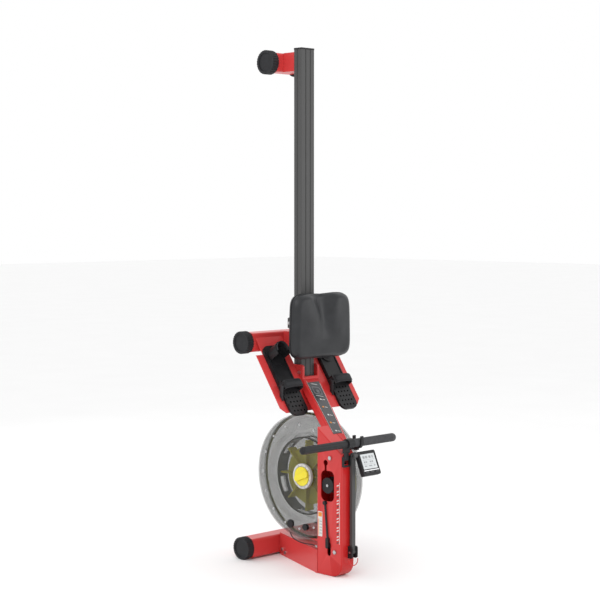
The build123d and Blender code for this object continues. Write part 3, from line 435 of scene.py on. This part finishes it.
def strap_path(side, along, height, half, skew, steps=24):
    """An arch over the shoe from one edge of the footplate to the other."""
    path = []
    for step in range(steps + 1):
        angle = math.pi * step / steps
        across = half * math.copysign(abs(math.cos(angle)) ** 0.55, math.cos(angle))
        above = 6 + height * math.sin(angle) ** 0.5
        path.append(on_foot(side, across, along + skew * across / half, above))
    return path


def build_straps():
    toe = (on_foot(0, 0, 1, 0) - on_foot(0, 0, 0, 0)).normalized()
    up = (on_foot(0, 0, 0, 1) - on_foot(0, 0, 0, 0)).normalized()
    right = Vector((-1, 0, 0))
    strap_section = [(-0.017, -0.0009), (0.017, -0.0009), (0.017, 0.0009), (-0.017, 0.0009)]
    for name, side in (("left", FOOT_SIDE), ("right", -FOOT_SIDE)):
        main = swept(f"{name}_toe_strap", strap_path(side, 172, 38, 50, 0), strap_section,
                     "webbing_black", "frame", side_axis=toe)
        if name == "left":
            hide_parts("foot_straps")
        pad_section = [(-0.013, -0.0012), (0.013, -0.0012), (0.013, 0.0012), (-0.013, 0.0012)]
        swept(f"{name}_strap_pad", strap_path(side, 172, 40.5, 52, 0)[6:19], pad_section,
              "rubber_black", "frame", side_axis=toe)
        buckle = on_foot(side, 51.5, 172, 24)
        for bar in (-15, 0, 15):
            slab(f"{name}_buckle_bar_{bar + 15}", buckle + toe * bar * MM, up, toe, rounded(26, 5, 2),
                 5, "plastic_black", "frame")
        for rail in (-11, 11):
            slab(f"{name}_buckle_rail_{rail + 11}", buckle + up * rail * MM, up, toe, rounded(4, 34, 1.8),
                 5, "plastic_black", "frame")
        tail = [on_foot(side, 53 + 4 * math.sin(i / 3), 172 + i * 6, 30 - i * 4) for i in range(9)]
        swept(f"{name}_strap_tail", tail,
              [(-0.0009, -0.009), (0.0009, -0.009), (0.0009, 0.009), (-0.0009, 0.009)],
              "webbing_black", "frame", side_axis=right)
        for edge in (-1, 1):
            for along in (200, 224, 248):
                slab(f"{name}_toe_rib_{edge + 1}_{along}", on_foot(side, edge * 41, along, 10), right, -toe,
                     rounded(6, 14, 2), 2.5, "plastic_black", "frame")


def build_heel_loops():
    """The soft loop over the back of each heel cup."""
    for name, side in (("left", FOOT_SIDE), ("right", -FOOT_SIDE)):
        path = []
        for step in range(25):
            angle = math.pi * step / 24
            rise = math.sin(angle)
            path.append(on_foot(side, 30 * math.cos(angle), 40 - 34 * rise, 58 + 4 * rise))
        section = [(-0.009, -0.0012), (0.009, -0.0012), (0.009, 0.0012), (-0.009, 0.0012)]
        up = (on_foot(0, 0, 0, 1) - on_foot(0, 0, 0, 0)).normalized()
        swept(f"{name}_heel_loop", path, section, "webbing_black", f"{name}_heel_cup", side_axis=up)


# ---------------------------------------------------------------- handle grip


def build_grip():
    """A textured sleeve with closely spaced rings and a rounded end."""
    low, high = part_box("handle_grip")
    radius = (high.z - low.z) / 2
    centre = (low + high) / 2
    start = low.x + 0.0006
    vertices, faces = [], []
    stations = []
    rings = 62
    pitch = (high.x - start - 0.02) / rings
    for ring in range(rings):
        place = start + ring * pitch
        stations += [(place, radius - 0.0012), (place + pitch * 0.25, radius), (place + pitch * 0.75, radius)]
    for step in range(7):
        angle = math.pi / 2 * step / 6
        stations.append((high.x - 0.011 + 0.011 * math.sin(angle), radius - 0.010 * (1 - math.cos(angle))))
    count = 28
    for place, size in stations:
        for step in range(count):
            angle = math.tau * step / count
            round_it = Vector((0, size * math.cos(angle), size * math.sin(angle)))
            vertices.append(Vector((place, centre.y, centre.z)) + round_it)
    for ring in range(len(stations) - 1):
        for step in range(count):
            turn = (step + 1) % count
            faces.append((ring * count + step, ring * count + turn, (ring + 1) * count + turn,
                          (ring + 1) * count + step))
    faces.append(tuple(range(count)))
    faces.append(tuple(range((len(stations) - 1) * count, len(stations) * count)))
    grip = make_piece("grip_sleeve", vertices, faces, "grip_grey", "handle")
    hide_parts("handle_grip")


# ---------------------------------------------------------------- cords on the spine

STRAP_RINGS = 24


def build_bungee():
    """A braided elastic: two layers of strands wound both ways round a core."""
    low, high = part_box("bungee")
    top = Vector(((low.x + high.x) / 2, high.y - 0.004, high.z - 0.003))
    bottom = Vector(((low.x + high.x) / 2, low.y + 0.004, low.z + 0.003))
    along = (bottom - top).normalized()
    across = Vector((1, 0, 0))
    out = across.cross(along).normalized()
    core = [top.lerp(bottom, i / 10) for i in range(11)]
    cord = swept("bungee_core", core, ring_section(0.0034), "webbing_black", "frame", side_axis=across)
    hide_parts("bungee")
    length = (bottom - top).length
    for strand in range(6):
        turn = 1 if strand % 2 else -1
        phase = math.tau * strand / 6
        path = []
        for step in range(73):
            share = step / 72
            angle = phase + turn * math.tau * share * length / 0.03
            path.append(top.lerp(bottom, share) + (across * math.cos(angle) + out * math.sin(angle)) * 0.0034)
        swept(f"bungee_strand_{strand}", path, ring_section(0.0007, 6), "webbing_black", "frame")


def build_drive_strap():
    """The flat woven strap between the spine and the handle's clip."""
    low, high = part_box("drive_strap")
    middle = (low + high) / 2
    half_width = (high.x - low.x) / 2
    half_thick = (high.y - low.y) / 2
    edge = half_thick * 0.6
    section = [(half_width - edge, -half_thick), (half_width, 0), (half_width - edge, half_thick),
               (edge - half_width, half_thick), (-half_width, 0), (edge - half_width, -half_thick)]
    path = [Vector((middle.x, middle.y, low.z + (high.z - low.z) * step / STRAP_RINGS))
            for step in range(STRAP_RINGS + 1)]
    strap = swept("pull_strap", path, section, "webbing_black", None, side_axis=Vector((1, 0, 0)))
    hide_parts("drive_strap")
    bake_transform(strap)


def build_ferrule():
    """The bright sleeve and plug at the end of the sensor cable."""
    end = at(174, 402, 97)
    back = at(156, 360, 96.5)
    along = (end - back).normalized()
    path = [end - along * 0.016, end - along * 0.014, end - along * 0.002, end]
    swept("cable_ferrule", path, ring_section(0.0036, 14), "steel", "frame")

# ---------------------------------------------------------------- prints and small trim

SPINE_OUTER = 178.0
LEFT_RIGHT = Vector((0, -1, 0))
UP = Vector((0, 0, 1))


def on_spine(name, lift, z, outline, look, thick=0.5):
    """A print on the outer face of the spine, outline in (lift, z) millimetres."""
    return slab(name, at(SPINE_OUTER, lift, z), LEFT_RIGHT, UP, outline, thick, "panel_print", "frame", look)


def build_spine_prints():
    stripe_z, stripe_top, pitch = 128, 352, 11
    slant = [(-5, -3.6), (5, 0.4), (5, 4.4), (-5, 0.4)]
    for index in range(int((stripe_top - stripe_z) / pitch)):
        look = "print_white" if index % 3 else "rail_black"
        on_spine(f"stripe_bar_{index}", 509, stripe_z + index * pitch, slant, look)
    on_spine("stripe_edge", 517.5, (stripe_z + stripe_top) / 2 - 4, rounded(1.6, 226, 0.7), "print_white")
    on_spine("side_label", 420, 186, rounded(22, 92, 3), "print_white", 0.4)
    on_spine("side_label_band", 420, 221, rounded(18, 16, 2), "print_orange", 0.7)
    on_spine("side_label_bar", 413, 174, rounded(3, 60, 1), "print_orange", 0.7)
    for index in range(5):
        on_spine(f"side_label_row_{index}", 423, 152 + index * 11, rounded(11, 2, 0.8), "print_grey", 0.7)


def build_panel_prints():
    """A pale border, a header, a picture box and five plain dots on the neck's panel."""
    neck_top = at(0, 197, 690)
    neck_end = at(145, 528, 452)
    down = (neck_end - neck_top).normalized()
    right_edge = Vector((1, 0, 0))
    outward = right_edge.cross(-down).normalized()
    across = down.cross(outward).normalized()
    if across.x < 0:
        across = -across
    start = neck_top.lerp(neck_end, 0.05) + outward * 0.0013
    length = (neck_end - neck_top).length * 0.69 / MM

    def patch(name, along, side, width, height, look, thick=0.35):
        slab(name, start + down * along * MM + across * side * MM, across, -down,
             rounded(width, height, min(width, height) * 0.2), thick, "panel_print", "frame", look)

    patch("panel_header", 14, 0, 34, 7, "print_grey")
    patch("panel_header_line", 14, 0, 24, 2.2, "print_white", 0.6)
    patch("panel_picture", 52, 0, 38, 46, "print_grey")
    patch("panel_picture_inner", 52, 0, 30, 34, "panel_print", 0.6)
    patch("panel_picture_shape", 56, 2, 13, 18, "print_grey", 0.8)
    patch("panel_rule", 84, 0, 32, 2, "print_white")
    step = (length - 118) / 4
    for index in range(5):
        along = 104 + index * step
        shift = -3 if index % 2 else 3
        dot_look = "print_orange" if index % 2 else "print_white"
        patch(f"panel_dot_{index}", along, shift - 6, 7, 7, dot_look, 0.5)
        patch(f"panel_row_{index}", along, shift + 7, 12, 2.4, "print_white", 0.5)
        patch(f"panel_tick_{index}", along + 8, shift - 2, 6, 3, "print_grey", 0.5)
    for side in (-1, 1):
        for step_index in range(12):
            share = (step_index + 0.5) / 12
            half = 33 - (45 - 33) * 0.74 * share
            patch(f"panel_border_{side + 1}_{step_index}", share * length, side * (half - 2.2), 0.9,
                  length / 12 + 0.6, "print_white", 0.3)


DISPLAY_ROWS = (
    (16, 9, ((-22, 10), (-8, 10), (10, 10), (24, 6))),
    (-2, 6, ((-24, 7), (-14, 7), (8, 7), (18, 7))),
    (-17, 4, ((-22, 12), (2, 16), (24, 8))),
)


def build_console_prints():
    """Plain bars and blocks on the display, a bright strip under it and the housing's side clips."""
    low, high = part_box("console_screen")
    centre = (low + high) / 2
    tilt = math.radians(23)
    outward = Vector((0, -math.cos(tilt), math.sin(tilt)))
    up = Vector((0, math.sin(tilt), math.cos(tilt)))
    right = Vector((1, 0, 0))
    face = centre + outward * 0.0006

    def segment(name, x, y, width, height, look="print_mid"):
        slab(name, face + right * x * MM + up * y * MM, right, up, rounded(width, height, 0.6), 0.25,
             "screen", "console", look)

    for row, (y, height, places) in enumerate(DISPLAY_ROWS):
        for column, (x, width) in enumerate(places):
            segment(f"display_{row}_{column}", x, y, width, height)
    segment("display_rule", 0, 6, 62, 0.8)
    segment("display_rule_low", 0, -10, 62, 0.8)
    slab("console_strip", centre - up * 0.0335 + outward * 0.0014, right, up, rounded(80, 4, 1.4), 1.0,
         "steel", "console", "steel")
    for side in (-1, 1):
        slab(f"console_clip_{side + 1}", centre + right * side * 41.5 * MM + outward * 0.0012, right, up,
             rounded(4, 52, 1.6), 1.2, "plastic_black", "console")


def build_dial_marks():
    """Ten plain ticks round the dial's white ring."""
    low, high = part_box("dial_bezel")
    centre = Vector((low.x + 0.004, (low.y + high.y) / 2, (low.z + high.z) / 2))
    for index in range(10):
        angle = math.radians(-120 + index * 26)
        out = Vector((0, -math.cos(angle), math.sin(angle)))
        round_about = Vector((-1, 0, 0)).cross(out)
        slab(f"dial_tick_{index}", centre + out * 0.0425, round_about, out, rounded(1.8, 6, 0.6), 0.5,
             "plastic_black", "frame")


def build_wire_loop():
    """The bent wire keeper under the console bracket."""
    path = []
    for step in range(21):
        angle = math.pi * step / 20
        path.append(at(130 + 24 * math.cos(angle), 541 + 4 * math.sin(angle), 66 - 22 * math.sin(angle)))
    swept("bracket_wire", path, ring_section(0.0016, 10), "steel", "frame", look="frame_red")


FLOOR_HALF = 30


def build_floor():
    mesh = bpy.data.meshes.new("floor")
    corners = [(x * FLOOR_HALF, y * FLOOR_HALF, 0) for x, y in ((-1, -1), (1, -1), (1, 1), (-1, 1))]
    mesh.from_pydata(corners, [], [(0, 1, 2, 3)])
    floor = bpy.data.objects.new("floor", mesh)
    bpy.context.scene.collection.objects.link(floor)
    pale = material("floor_pale", (0.94, 0.94, 0.94), (0.96, 0.96, 0.96), 0.9, scale=2, bump=0.0)
    mesh.materials.append(pale)


make_camera()
make_world()
finish_cad()
build_seat()
build_straps()
build_heel_loops()
build_grip()
build_bungee()
build_drive_strap()
build_ferrule()
build_spine_prints()
build_panel_prints()
build_console_prints()
build_dial_marks()
build_wire_loop()
build_floor()

bpy.context.view_layer.update()
